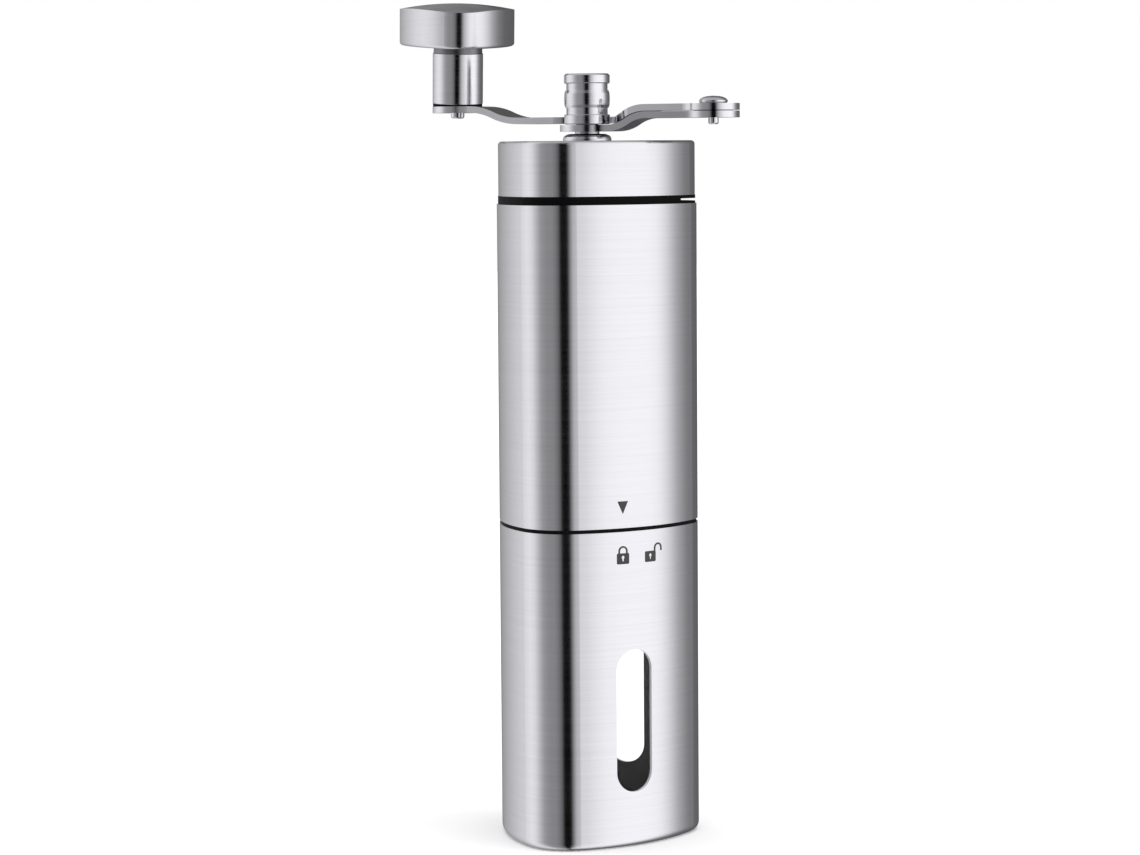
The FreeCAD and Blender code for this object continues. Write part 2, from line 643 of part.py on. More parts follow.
def adjuster_dial():
    """Knurled grind dial: a disc with finger lobes and a raised nut around the thread."""
    disc = cylinder("dial_disc", "dial_radius", "dial_low + dial_boss_drop", "dial_high")
    boss = cylinder("dial_boss", "dial_boss_radius", "dial_low", "dial_high - snug")
    lobes = []
    for k in range(DIAL_LOBES):
        turn = Rotation(Vector(0, 0, 1), 360.0 * k / DIAL_LOBES)
        lobes.append(moved(
            cylinder("dial_lobe_%d" % k, "dial_lobe", "dial_low + dial_boss_drop", "dial_high"),
            Placement(turn.multVec(Vector(size("lobe_reach"), 0, 0)), Rotation())))
    bore = cylinder("dial_bore", "thread_radius + running", "dial_low - over", "dial_high + over")
    finish(cut("adjuster_dial_cut", fuse("dial_solid", [disc, boss] + lobes), bore),
           "adjuster_dial")


# ---------------------------------------------------------------- crank

def level_run(spots):
    """Centre heights of a bent strip: (x, z) corners joined by flats and S-bends.

    Returns the upper and lower edges as lists of ("line" or "arc", points)."""
    half = size("link_thick") / 2
    edges = {1: [], -1: []}
    for (x_from, z_from), (x_to, z_to) in zip(spots, spots[1:]):
        drop = z_to - z_from
        if abs(drop) < 1e-9:
            for side in (1, -1):
                edges[side].append(("line", [(x_from, z_from + side * half),
                                             (x_to, z_to + side * half)]))
            continue
        run = x_to - x_from
        radius = (run ** 2 + drop ** 2) / (4 * abs(drop))
        sway = math.asin(run / 2 / radius)
        sense = 1 if drop > 0 else -1
        for side in (1, -1):
            first = radius - sense * side * half
            second = radius + sense * side * half
            start = []
            end = []
            for share in (0.0, 0.5, 1.0):
                turn = sway * share
                start.append((x_from + first * math.sin(turn),
                              z_from + sense * (radius - first * math.cos(turn))))
                turn = sway * (1 - share)
                end.append((x_to - second * math.sin(turn),
                            z_to - sense * (radius - second * math.cos(turn))))
            edges[side].append(("arc", start))
            edges[side].append(("arc", end))
    return edges


def chain(sketch, pieces):
    """Add lines and three-point arcs end to end and hold each where it is."""
    for kind, spots in pieces:
        points = [Vector(x, y, 0) for x, y in spots]
        if kind == "line":
            sketch.addGeometry(Part.LineSegment(points[0], points[-1]), False)
        else:
            sketch.addGeometry(Part.Arc(*points), False)
    for index in range(sketch.GeometryCount):
        sketch.addConstraint(Sketcher.Constraint("Block", index))


def bent_strip(name, spots, width):
    """Sheet strip with S-bends, drawn from the side and padded across its width."""
    edges = level_run(spots)
    upper = edges[1]
    lower = [(kind, points[::-1]) for kind, points in edges[-1][::-1]]
    body = new_body(name)
    sketch = new_sketch(body, name + "_side", "XZ_Plane")
    right = [("line", [upper[-1][1][-1], lower[0][1][0]])]
    left = [("line", [lower[-1][1][-1], upper[0][1][0]])]
    chain(sketch, upper + right + lower + left)
    feature = pad(body, sketch, width)
    feature.Midplane = True
    doc.recompute()
    return body


def neck(centre, radius, edge, blend, sign, ahead):
    """Blend arc from a round end of given radius into a straight edge at distance `edge`."""
    x_mid, y_mid = centre
    offset = sign * (edge + blend) - y_mid
    along = math.sqrt((radius + blend) ** 2 - offset ** 2)
    bx = x_mid + (along if ahead else -along)
    by = sign * (edge + blend)
    share = radius / (radius + blend)
    touch = (x_mid + (bx - x_mid) * share, y_mid + (by - y_mid) * share)
    flat = (bx, sign * edge)
    turn = (math.atan2(touch[1] - by, touch[0] - bx) + math.atan2(flat[1] - by, 0.0)) / 2
    middle = (bx + blend * math.cos(turn), by + blend * math.sin(turn))
    gap = math.hypot(middle[0] - (touch[0] + flat[0]) / 2, middle[1] - (touch[1] + flat[1]) / 2)
    if gap > blend:
        middle = (2 * bx - middle[0], 2 * by - middle[1])
    return touch, middle, flat


def plan_block(name, edge_pieces):
    """Upright block with the link's outline, taller than the bent strip."""
    body = new_body(name)
    sketch = new_sketch(body, name + "_plan", "XY_Plane", "plan_low")
    chain(sketch, edge_pieces)
    pad(body, sketch, "plan_tall")
    return body


def round_end_edges(length, first_radius, second_radius):
    """Both long edges of a link with round ends: left-hand edge first, then right-hand."""
    edge = size("link_width") / 2
    blend = size("blend_radius")
    start = {}
    finish_at = {}
    for sign in (1, -1):
        start[sign] = neck((0.0, 0.0), first_radius, edge, blend, sign, True)
        finish_at[sign] = neck((length, 0.0), second_radius, edge, blend, sign, False)
    return start, finish_at


def lower_link():
    reach = size("crank_reach")
    half = size("link_thick") / 2
    low = size("eye_low") + half
    high = size("pivot_low") + half
    spare = size("blank_spare")
    strip = bent_strip("lower_strip", [
        (-spare, low), (size("lower_rise_start"), low), (size("lower_rise_end"), high),
        (reach + spare, high)], "eye_radius * 2 + over")
    start, end = round_end_edges(reach, size("eye_radius"), size("end_radius"))
    pieces = [("arc", [start[1][0], start[1][1], start[1][2]]),
              ("line", [start[1][2], end[1][2]]),
              ("arc", [end[1][2], end[1][1], end[1][0]]),
              ("arc", [end[1][0], (reach + size("end_radius"), 0.0), end[-1][0]]),
              ("arc", [end[-1][0], end[-1][1], end[-1][2]]),
              ("line", [end[-1][2], start[-1][2]]),
              ("arc", [start[-1][2], start[-1][1], start[-1][0]]),
              ("arc", [start[-1][0], (-size("eye_radius"), 0.0), start[1][0]])]
    blank = common("lower_link_blank", strip, plan_block("lower_link_plan", pieces))
    seat = hexagon("crank_hex_hole", "crank_hex_circle + running", "eye_low - over",
                   "eye_low + link_thick + over")
    hole = cylinder("lower_pivot_hole", "rivet_radius + press", "pivot_low - over",
                    "pivot_low + link_thick + over")
    bind(hole, ".Placement.Base.x", "crank_reach")
    finish(cut("lower_link_cut", blank, fuse("lower_link_tools", [seat, hole])), "lower_link",
           Placement(Vector(0, 0, 0), Rotation(Vector(0, 0, 1), size("crank_angle"))))


def handle_place():
    turn = math.radians(size("crank_angle"))
    reach = size("crank_reach")
    return Placement(Vector(reach * math.cos(turn), reach * math.sin(turn), 0),
                     Rotation(Vector(0, 0, 1), size("handle_angle")))


def knob_place():
    """Where the knob stands: its rivet leans a little out of the upright at the link's end."""
    tip = handle_place().multVec(Vector(size("handle_length"), 0, 0))
    foot = Vector(0, 0, size("handle_end_low") + size("link_thick") / 2)
    toward = math.radians(size("knob_lean_toward"))
    lean = Rotation(Vector(-math.sin(toward), math.cos(toward), 0), size("knob_lean"))
    return Placement(tip + foot, lean).multiply(Placement(-foot, Rotation()))


def turned_knob_place():
    return knob_place().multiply(
        Placement(Vector(0, 0, 0), Rotation(Vector(0, 0, 1), size("knob_turn"))))


def upper_link():
    """Handle link: two S-bends, and a bow with a round recess that clears the nut."""
    length = size("handle_length")
    half = size("link_thick") / 2
    pivot = size("handle_pivot_low") + half
    middle = size("handle_mid_low") + half
    tip = size("handle_end_low") + half
    spare = size("blank_spare")
    strip = bent_strip("upper_strip", [
        (-spare, pivot), (size("handle_drop_start"), pivot), (size("handle_drop_end"), middle),
        (size("handle_rise_start"), middle), (size("handle_rise_end"), tip),
        (length + spare, tip)], "bow_radius * 2 + blank_spare")
    start, end = round_end_edges(length, size("end_radius"), size("end_radius"))
    edge = size("link_width") / 2
    blend = size("blend_radius")
    centre = (size("axis_along"), size("axis_aside"))
    recess = size("notch_radius")
    bow = size("bow_radius")

    def recess_blend(ahead):
        """Round lip between the straight edge and the recess, on the link's own side."""
        by = edge - blend
        along = math.sqrt((recess + blend) ** 2 - (centre[1] - by) ** 2)
        bx = centre[0] + (along if ahead else -along)
        share = recess / (recess + blend)
        touch = (centre[0] + (bx - centre[0]) * share, centre[1] + (by - centre[1]) * share)
        toward = math.atan2(touch[1] - by, touch[0] - bx)
        turn = (toward + math.pi / 2) / 2
        return touch, (bx + blend * math.cos(turn), by + blend * math.sin(turn)), (bx, edge)

    near = recess_blend(False)
    far = recess_blend(True)
    bow_far = neck(centre, bow, edge, size("bow_blend"), -1, True)
    bow_near = neck(centre, bow, edge, size("bow_blend"), -1, False)
    pieces = [("arc", [start[1][0], start[1][1], start[1][2]]),
              ("line", [start[1][2], near[2]]),
              ("arc", [near[2], near[1], near[0]]),
              ("arc", [near[0], (centre[0], centre[1] - recess), far[0]]),
              ("arc", [far[0], far[1], far[2]]),
              ("line", [far[2], end[1][2]]),
              ("arc", [end[1][2], end[1][1], end[1][0]]),
              ("arc", [end[1][0], (length + size("end_radius"), 0.0), end[-1][0]]),
              ("arc", [end[-1][0], end[-1][1], end[-1][2]]),
              ("line", [end[-1][2], bow_far[2]]),
              ("arc", [bow_far[2], bow_far[1], bow_far[0]]),
              ("arc", [bow_far[0], (centre[0], centre[1] - bow), bow_near[0]]),
              ("arc", [bow_near[0], bow_near[1], bow_near[2]]),
              ("line", [bow_near[2], start[-1][2]]),
              ("arc", [start[-1][2], start[-1][1], start[-1][0]]),
              ("arc", [start[-1][0], (-size("end_radius"), 0.0), start[1][0]])]
    blank = common("upper_link_blank", strip, plan_block("upper_link_plan", pieces))
    pivot_hole = cylinder("upper_pivot_hole", "rivet_radius + running", "handle_pivot_low - over",
                          "handle_pivot_low + link_thick + over")
    knob_hole = cylinder("knob_pin_hole", "rivet_radius + press", "handle_end_low - over",
                         "handle_end_low + link_thick + over")
    moved(knob_hole, handle_place().inverse().multiply(knob_place()))
    finish(cut("upper_link_cut", blank, fuse("upper_link_tools", [pivot_hole, knob_hole])),
           "upper_link", handle_place())


# domed head of the pivot rivet: how far in from its rim, and how far above its seat
RIVET_DOME = ((0.25, 0.0), (0.0, 0.3), (0.0, 0.65), (0.4, 1.1), (1.1, 1.45), (2.0, 1.65))


def pivot_rivet():
    dome = [("rivet_head - %g" % inset, "rivet_seat + %g" % rise) for inset, rise in RIVET_DOME]
    rivet = revolve("pivot_rivet_body", [
        ("0", "rivet_tail"), ("rivet_tail_radius - tail_edge", "rivet_tail"),
        ("rivet_tail_radius", "rivet_tail + tail_edge"), ("rivet_tail_radius", "pivot_low + snug"),
        ("rivet_radius", "pivot_low + snug"), ("rivet_radius", "rivet_seat")]
        + dome + [("0", "rivet_top")])
    finish(rivet, "pivot_rivet", Placement(handle_place().Base, Rotation()))


def pivot_washer():
    washer = revolve("pivot_washer_body", [
        ("rivet_radius + hair", "pivot_low + link_thick + press"),
        ("pivot_washer_radius", "pivot_low + link_thick + press"),
        ("pivot_washer_radius", "handle_pivot_low - hair"),
        ("rivet_radius + hair", "handle_pivot_low - hair")])
    finish(washer, "pivot_washer", Placement(handle_place().Base, Rotation()))


# ---------------------------------------------------------------- knob

def knob_pin():
    pin = revolve("knob_pin_body", [
        ("0", "pin_tail"), ("rivet_radius - tail_edge", "pin_tail"),
        ("rivet_radius", "pin_tail + tail_edge"), ("rivet_radius", "pin_head_low"),
        ("pin_head", "pin_head_low"),
        ("pin_head", "pin_head_high"), ("0", "pin_head_high")])
    finish(pin, "knob_pin", knob_place())


def knob_washer():
    """Wedge washer: flat on the link, its upper face square to the leaning stem."""
    upright = Placement(handle_place().multVec(Vector(size("handle_length"), 0, 0)), Rotation())
    disc = moved(cylinder("knob_washer_disc", "seat_radius", "handle_end_low + link_thick + hair",
                          "stem_low + 2 * over"), upright)
    bore = moved(cylinder("knob_washer_bore", "seat_bore", "handle_end_low", "stem_low + 3 * over"),
                 upright)
    above = moved(cylinder("knob_washer_top", "seat_radius * 2", "stem_low - running",
                           "stem_low + 4 * over"), knob_place())
    finish(cut("knob_washer_cut", disc, fuse("knob_washer_tools", [bore, above])), "knob_washer")


def knob_stem():
    stem = revolve("knob_stem_body", [
        ("rivet_radius + running", "stem_low"), ("stem_radius - stem_edge", "stem_low"),
        ("stem_radius", "stem_low + stem_edge"), ("stem_radius", "stem_high - stem_edge"),
        ("stem_radius - stem_edge", "stem_high"), ("stem_counterbore", "stem_high"),
        ("stem_counterbore", "pin_head_low - snug"),
        ("rivet_radius + running", "pin_head_low - snug")])
    finish(stem, "knob_stem", knob_place())


def knob_head():
    """Rounded triangular cap with a shallow crown, hollow underneath."""
    body = new_body("knob_head_body")
    block = pad(body, triangle_sketch(body, "knob_outline", "0", "knob_low", "knob"),
                "knob_crown - knob_low")
    fillet(body, block, "knob_low", "wall")
    rise = size("knob_crown") - size("knob_rim")
    reach = size("knob_centre") + size("knob_corner")
    crown = (reach ** 2 + rise ** 2) / (2 * rise)
    ball = doc.addObject("Part::Sphere", "crown_ball")
    ball.Radius = crown
    ball.Placement = Placement(Vector(0, 0, size("knob_crown") - crown), Rotation())
    domed = common("knob_domed", body, ball)
    inside = prism("knob_hollow", "knob_wall", "knob_low - over", "knob_rim - knob_wall", "knob")
    finish(cut("knob_head_cut", domed, inside), "knob_head", turned_knob_place())


def knob_core():
    block = prism("core_block", "knob_wall + snug", "knob_low + core_gap",
                  "knob_rim - knob_wall - snug", "knob")
    pieces = [block,
              cylinder("core_neck", "neck_radius", "stem_high + hair", "knob_low + over"),
              cylinder("core_spigot", "stem_counterbore - snug", "pin_head_high + core_gap",
                       "knob_low + over")]
    finish(fuse("knob_core_solid", pieces), "knob_core", turned_knob_place())


# ---------------------------------------------------------------- nut

def thumb_nut():
    """Closed thumb nut with two raised rings either side of a slightly barrelled middle."""
    finish(revolve("thumb_nut_body", [
        ("shaft_radius + head_gap", "nut_low"), ("nut_radius - nut_edge", "nut_low"),
        ("nut_radius", "nut_low + nut_edge"), ("nut_radius", "nut_low + nut_ring"),
        ("nut_radius - nut_edge", "nut_low + nut_ring + nut_edge"),
        ("nut_waist", "nut_low + nut_ring + nut_edge"), ("nut_waist", "barrel_low"),
        ("nut_radius - barrel_drop", "barrel_low"),
        ("nut_radius - barrel_bulge", "barrel_low + barrel_ease"),
        ("nut_radius", "barrel_low + barrel_half"),
        ("nut_radius - barrel_bulge", "barrel_high - barrel_ease"),
        ("nut_radius - barrel_drop", "barrel_high"), ("nut_waist", "barrel_high"),
        ("nut_waist", "nut_high - nut_ring - nut_edge"),
        ("nut_radius - nut_edge", "nut_high - nut_ring - nut_edge"),
        ("nut_radius", "nut_high - nut_ring"), ("nut_radius", "nut_high - nut_top_edge"),
        ("nut_radius - nut_top_edge", "nut_high"), ("0", "nut_high"),
        ("0", "stud_high + nut_bore_gap"), ("stud_radius + running", "stud_high + nut_bore_gap"),
        ("stud_radius + running", "crank_hex_high + nut_bore_gap"),
        ("shaft_radius + head_gap", "crank_hex_high + nut_bore_gap")]), "thumb_nut")


# ---------------------------------------------------------------- assembly and export

cup_shell()
cup_liner()
cup_collar()
seam_seal()
body_shell()
body_collar()
burr_housing()
outer_burr()
bush("lower_bush", "hub_low", "hub_high")
top_frame()
bush("upper_bush", "top_hub_low", "top_hub_high")
lid_shell()
lid_plug()
lid_collar()
shaft()
shaft_clip()
spring_washer()
burr_spring()
inner_burr()
burr_driver()
adjuster_dial()
lower_link()
pivot_rivet()
pivot_washer()
upper_link()
knob_pin()
knob_washer()
knob_stem()
knob_core()
knob_head()
thumb_nut()
doc.recompute()

for item in doc.Objects:
    if "Invalid" in item.State or "Error" in item.State:
        raise ValueError("failed feature: " + item.Name)
os.makedirs("parts", exist_ok=True)
for item in FINISHED:
    shape = item.Shape
    if shape.isNull() or not shape.isValid() or len(shape.Solids) != 1:
        raise ValueError("bad solid: %s (%d)" % (item.Label, len(shape.Solids)))
    shape.exportStep("parts/%s.step" % item.Label)
    box = shape.BoundBox
    print("%-14s vol %9.1f  x %7.2f %7.2f  y %7.2f %7.2f  z %7.2f %7.2f" % (
        item.Label, shape.Volume, box.XMin, box.XMax, box.YMin, box.YMax, box.ZMin, box.ZMax))
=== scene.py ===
import math

import bmesh
import bpy
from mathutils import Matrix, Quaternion, Vector


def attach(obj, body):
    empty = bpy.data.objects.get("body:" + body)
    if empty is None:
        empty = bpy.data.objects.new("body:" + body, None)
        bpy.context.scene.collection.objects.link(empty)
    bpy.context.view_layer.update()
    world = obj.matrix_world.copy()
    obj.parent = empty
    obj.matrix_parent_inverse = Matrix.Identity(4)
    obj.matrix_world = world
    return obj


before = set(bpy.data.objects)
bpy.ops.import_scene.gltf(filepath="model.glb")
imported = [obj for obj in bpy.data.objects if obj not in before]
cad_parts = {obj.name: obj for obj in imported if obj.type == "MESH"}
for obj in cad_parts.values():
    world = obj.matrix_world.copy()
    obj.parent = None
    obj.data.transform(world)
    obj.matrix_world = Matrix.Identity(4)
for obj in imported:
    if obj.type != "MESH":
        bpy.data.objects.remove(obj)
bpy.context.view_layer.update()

# The windowed front faces -Y; the camera stands to the left of it.
CAMERA_TURN = math.radians(37.27)
CAMERA_PITCH = math.radians(4.91)
CAMERA_ROLL = math.radians(-0.42)
CAMERA_DISTANCE = 0.7941
CAMERA_ASIDE = -0.0047
CAMERA_HEIGHT = 0.1682
CAMERA_LENS = 102.8
SENSOR_WIDTH = 36.0

# Rounded triangle of the shells: radius of the broad faces, and a face's reach from the axis.
SIDE_RADIUS = 0.0438
FACE_REACH = 0.022

# Points inside the shells and inside the knob, and the dull grey of their unpolished inner faces.
SHELL_MIDDLE = (0.0, 0.0, 0.04)
KNOB_MIDDLE = (-0.0094, 0.0410, 0.198)
INSIDE_LEVEL = 0.85


# ---------------------------------------------------------------- node helpers

class Graph:
    """Short hand for building one node tree."""

    def __init__(self, tree):
        self.tree = tree
        tree.nodes.clear()

    def add(self, kind, **settings):
        node = self.tree.nodes.new(kind)
        for key, value in settings.items():
            setattr(node, key, value)
        return node

    def link(self, output, target):
        self.tree.links.new(output, target)

    def feed(self, target, value):
        if hasattr(value, "is_output"):
            self.link(value, target)
        else:
            target.default_value = value

    def math(self, operation, first, second):
        node = self.add("ShaderNodeMath", operation=operation)
        self.feed(node.inputs[0], first)
        self.feed(node.inputs[1], second)
        return node.outputs[0]

    def scaled(self, vector, scale):
        node = self.add("ShaderNodeVectorMath", operation="MULTIPLY")
        self.feed(node.inputs[0], vector)
        node.inputs[1].default_value = scale
        return node.outputs[0]

    def noise(self, vector, scale, detail=2.0, rough=0.5):
        node = self.add("ShaderNodeTexNoise")
        self.feed(node.inputs["Vector"], vector)
        node.inputs["Scale"].default_value = scale
        node.inputs["Detail"].default_value = detail
        node.inputs["Roughness"].default_value = rough
        return node.outputs["Fac"]

    def span(self, value, low, high, to_low, to_high):
        node = self.add("ShaderNodeMapRange")
        self.feed(node.inputs["Value"], value)
        for name, number in (("From Min", low), ("From Max", high),
                             ("To Min", to_low), ("To Max", to_high)):
            node.inputs[name].default_value = number
        return node.outputs["Result"]

    def ramp(self, value, stops):
        node = self.add("ShaderNodeValToRGB")
        self.feed(node.inputs["Fac"], value)
        band = node.color_ramp
        while len(band.elements) > 1:
            band.elements.remove(band.elements[-1])
        band.elements[0].position = stops[0][0]
        band.elements[0].color = (*stops[0][1], 1)
        for place, colour in stops[1:]:
            band.elements.new(place).color = (*colour, 1)
        return node.outputs["Color"]

    def mix(self, factor, first, second):
        node = self.add("ShaderNodeMix", data_type="RGBA")
        self.feed(node.inputs[0], factor)
        self.feed(node.inputs[6], first)
        self.feed(node.inputs[7], second)
        return node.outputs[2]

    def bump(self, height, strength, distance):
        node = self.add("ShaderNodeBump")
        self.feed(node.inputs["Height"], height)
        node.inputs["Strength"].default_value = strength
        node.inputs["Distance"].default_value = distance
        return node.outputs["Normal"]


def new_material(name):
    """A material with an empty tree, its graph and its Principled shader."""
    material = bpy.data.materials.new(name)
    material.use_nodes = True
    graph = Graph(material.node_tree)
    shader = graph.add("ShaderNodeBsdfPrincipled")
    output = graph.add("ShaderNodeOutputMaterial")
    graph.link(shader.outputs[0], output.inputs[0])
    return material, graph, shader


def grey(level):
    return (level, level, level, 1)


def steel_colour(level):
    """Steel's own grey, a trace towards violet."""
    return (level, level * 0.989, level * 1.034)


# ---------------------------------------------------------------- metals

def inner_mask(graph, place, middle):
    """1 on faces that look in at the point `middle`, 0 on faces that look away from it."""
    centred = graph.add("ShaderNodeVectorMath", operation="SUBTRACT")
    graph.link(place, centred.inputs[0])
    centred.inputs[1].default_value = middle
    facing = graph.add("ShaderNodeVectorMath", operation="DOT_PRODUCT")
    graph.link(graph.add("ShaderNodeTexCoord").outputs["Normal"], facing.inputs[0])
    graph.link(centred.outputs[0], facing.inputs[1])
    return graph.math("LESS_THAN", facing.outputs["Value"], 0.0)


def brushed_steel(name, level, rough, anisotropic, grain_along, middle, streak=0.05):
    """Steel brushed in horizontal lines: fine streaks in colour, roughness and bump."""
    material, graph, shader = new_material(name)
    place = graph.add("ShaderNodeTexCoord").outputs["Object"]
    fine = graph.noise(graph.scaled(place, (grain_along, grain_along, 9000.0)), 1.0, 2.0, 0.6)
    broad_along = grain_along * 0.4
    broad = graph.noise(graph.scaled(place, (broad_along, broad_along, 1400.0)), 1.0, 3.0)
    cloud = graph.noise(place, 55.0, 3.0)
    lines = graph.math("ADD", graph.math("MULTIPLY", fine, 0.6), graph.math("MULTIPLY", broad, 0.4))
    shade = graph.span(lines, 0.3, 0.7, 1 - streak, 1 + streak)
    steel = graph.add("ShaderNodeVectorMath", operation="SCALE")
    steel.inputs[0].default_value = steel_colour(level)
    graph.link(shade, steel.inputs["Scale"])
    inside = inner_mask(graph, place, middle)
    graph.link(graph.mix(inside, steel.outputs[0], grey(INSIDE_LEVEL)), shader.inputs["Base Color"])
    graph.link(graph.math("SUBTRACT", 1.0, inside), shader.inputs["Metallic"])
    shader.inputs["Anisotropic"].default_value = anisotropic
    shader.inputs["Anisotropic Rotation"].default_value = 0.25
    worn = graph.math("ADD", graph.span(lines, 0.3, 0.7, rough - 0.035, rough + 0.035),
                      graph.span(cloud, 0.35, 0.65, -0.012, 0.012))
    graph.link(graph.math("ADD", worn, graph.math("MULTIPLY", inside, 0.25)),
               shader.inputs["Roughness"])
    graph.link(graph.bump(lines, 0.16, 0.00002), shader.inputs["Normal"])
    tangent = graph.add("ShaderNodeTangent", direction_type="RADIAL", axis="Z")
    graph.link(tangent.outputs[0], shader.inputs["Tangent"])
    return material


def satin_steel(name, level, rough, grain):
    """Turned or stamped steel with an even satin grain and small tool marks."""
    material, graph, shader = new_material(name)
    place = graph.add("ShaderNodeTexCoord").outputs["Object"]
    marks = graph.noise(graph.scaled(place, grain), 1.0, 2.0, 0.5)
    cloud = graph.noise(place, 260.0, 2.0)
    shade = graph.span(marks, 0.3, 0.7, 0.96, 1.04)
    steel = graph.add("ShaderNodeVectorMath", operation="SCALE")
    steel.inputs[0].default_value = steel_colour(level)
    graph.link(shade, steel.inputs["Scale"])
    graph.link(steel.outputs[0], shader.inputs["Base Color"])
    shader.inputs["Metallic"].default_value = 1.0
    worn = graph.math("ADD", graph.span(marks, 0.3, 0.7, rough - 0.025, rough + 0.03),
                      graph.span(cloud, 0.35, 0.65, -0.015, 0.015))
    graph.link(worn, shader.inputs["Roughness"])
    graph.link(graph.bump(marks, 0.05, 0.00001), shader.inputs["Normal"])
    return material


def brass(name):
    material, graph, shader = new_material(name)
    place = graph.add("ShaderNodeTexCoord").outputs["Object"]
    rings = graph.noise(graph.scaled(place, (300.0, 300.0, 6000.0)), 1.0, 2.0)
    stain = graph.noise(place, 400.0, 3.0)
    colour = graph.mix(graph.span(stain, 0.35, 0.7, 0.0, 1.0), (0.62, 0.42, 0.16, 1),
                       (0.42, 0.27, 0.10, 1))
    graph.link(colour, shader.inputs["Base Color"])
    shader.inputs["Metallic"].default_value = 1.0
    graph.link(graph.span(rings, 0.3, 0.7, 0.24, 0.4), shader.inputs["Roughness"])
    graph.link(graph.bump(rings, 0.2, 0.00002), shader.inputs["Normal"])
    return material


# ---------------------------------------------------------------- plastics, rubber, ceramic, print

def moulded(name, level, rough, grain=2600.0, depth=0.00003, shine=0.5):
    """Matt moulded plastic or rubber: fine spark-eroded grain and slight clouding."""
    material, graph, shader = new_material(name)
    place = graph.add("ShaderNodeTexCoord").outputs["Object"]
    grain_height = graph.noise(place, grain, 2.0)
    cloud = graph.noise(place, 90.0, 3.0)
    colour = graph.mix(graph.span(cloud, 0.35, 0.65, 0.0, 1.0), grey(level * 0.85),
                       grey(level * 1.2))
    graph.link(colour, shader.inputs["Base Color"])
    worn = graph.math("ADD", graph.span(grain_height, 0.3, 0.7, rough - 0.06, rough + 0.06),
                      graph.span(cloud, 0.35, 0.65, -0.03, 0.03))
    graph.link(worn, shader.inputs["Roughness"])
    graph.link(graph.bump(grain_height, 0.35, depth), shader.inputs["Normal"])
    shader.inputs["Specular IOR Level"].default_value = shine
    return material


def clear_plastic(name):
    """Clear moulded jar with a trace of haze."""
    material, graph, shader = new_material(name)
    place = graph.add("ShaderNodeTexCoord").outputs["Object"]
    haze = graph.noise(place, 180.0, 3.0)
    shader.inputs["IOR"].default_value = 1.05
    shader.inputs["Transmission Weight"].default_value = 1.0
    graph.link(graph.mix(haze, (0.998, 0.997, 1.0, 1), (0.990, 0.989, 0.994, 1)),
               shader.inputs["Base Color"])
    graph.link(graph.span(haze, 0.3, 0.7, 0.0, 0.05), shader.inputs["Roughness"])
    return material


def ceramic(name):
    material, graph, shader = new_material(name)
    place = graph.add("ShaderNodeTexCoord").outputs["Object"]
    speck = graph.noise(place, 1500.0, 3.0, 0.7)
    stain = graph.noise(place, 160.0, 3.0)
    body = graph.mix(graph.span(stain, 0.4, 0.75, 0.0, 0.5), (0.82, 0.79, 0.72, 1),
                     (0.55, 0.47, 0.38, 1))
    colour = graph.mix(graph.span(speck, 0.62, 0.72, 0.0, 0.6), body, (0.45, 0.38, 0.30, 1))
    graph.link(colour, shader.inputs["Base Color"])
    graph.link(graph.span(speck, 0.3, 0.7, 0.42, 0.6), shader.inputs["Roughness"])
    graph.link(graph.bump(speck, 0.3, 0.00004), shader.inputs["Normal"])
    return material


def print_ink(name):
    """Dark grey pad print with slightly uneven coverage."""
    material, graph, shader = new_material(name)
    place = graph.add("ShaderNodeTexCoord").outputs["Object"]
    cover = graph.noise(place, 4200.0, 2.0)
    colour = graph.mix(graph.span(cover, 0.3, 0.7, 0.0, 1.0), grey(0.022), grey(0.045))
    graph.link(colour, shader.inputs["Base Color"])
    graph.link(graph.span(cover, 0.3, 0.7, 0.5, 0.65), shader.inputs["Roughness"])
    graph.link(graph.bump(cover, 0.2, 0.00001), shader.inputs["Normal"])
    return material


# ---------------------------------------------------------------- printed marks

def on_front(across, height, proud):
    """A point on the broad front face, `across` to the right and lifted off by `proud`."""
    bulge = math.sqrt(SIDE_RADIUS ** 2 - across ** 2) - SIDE_RADIUS
    return Vector((across, -(FACE_REACH + bulge + proud), height))


def arc_points(centre, radius, start, end, steps):
    """Points along an arc; angles in degrees."""
    turns = [math.radians(start + (end - start) * k / steps) for k in range(steps + 1)]
    return [(centre[0] + radius * math.cos(t), centre[1] + radius * math.sin(t)) for t in turns]


def rounded_box(centre, width, height, corner, steps=5):
    spots = []
    for x_side, y_side, start in ((1, 1, 0), (-1, 1, 90), (-1, -1, 180), (1, -1, 270)):
        middle = (centre[0] + x_side * (width / 2 - corner),
                  centre[1] + y_side * (height / 2 - corner))
        spots += arc_points(middle, corner, start, start + 90, steps)
    return spots


# Step along a print's outline, how far the film stands off the steel, and its thickness.
OUTLINE_STEP = 0.0004
FILM_PROUD = 0.00005
FILM_THICK = 0.00003


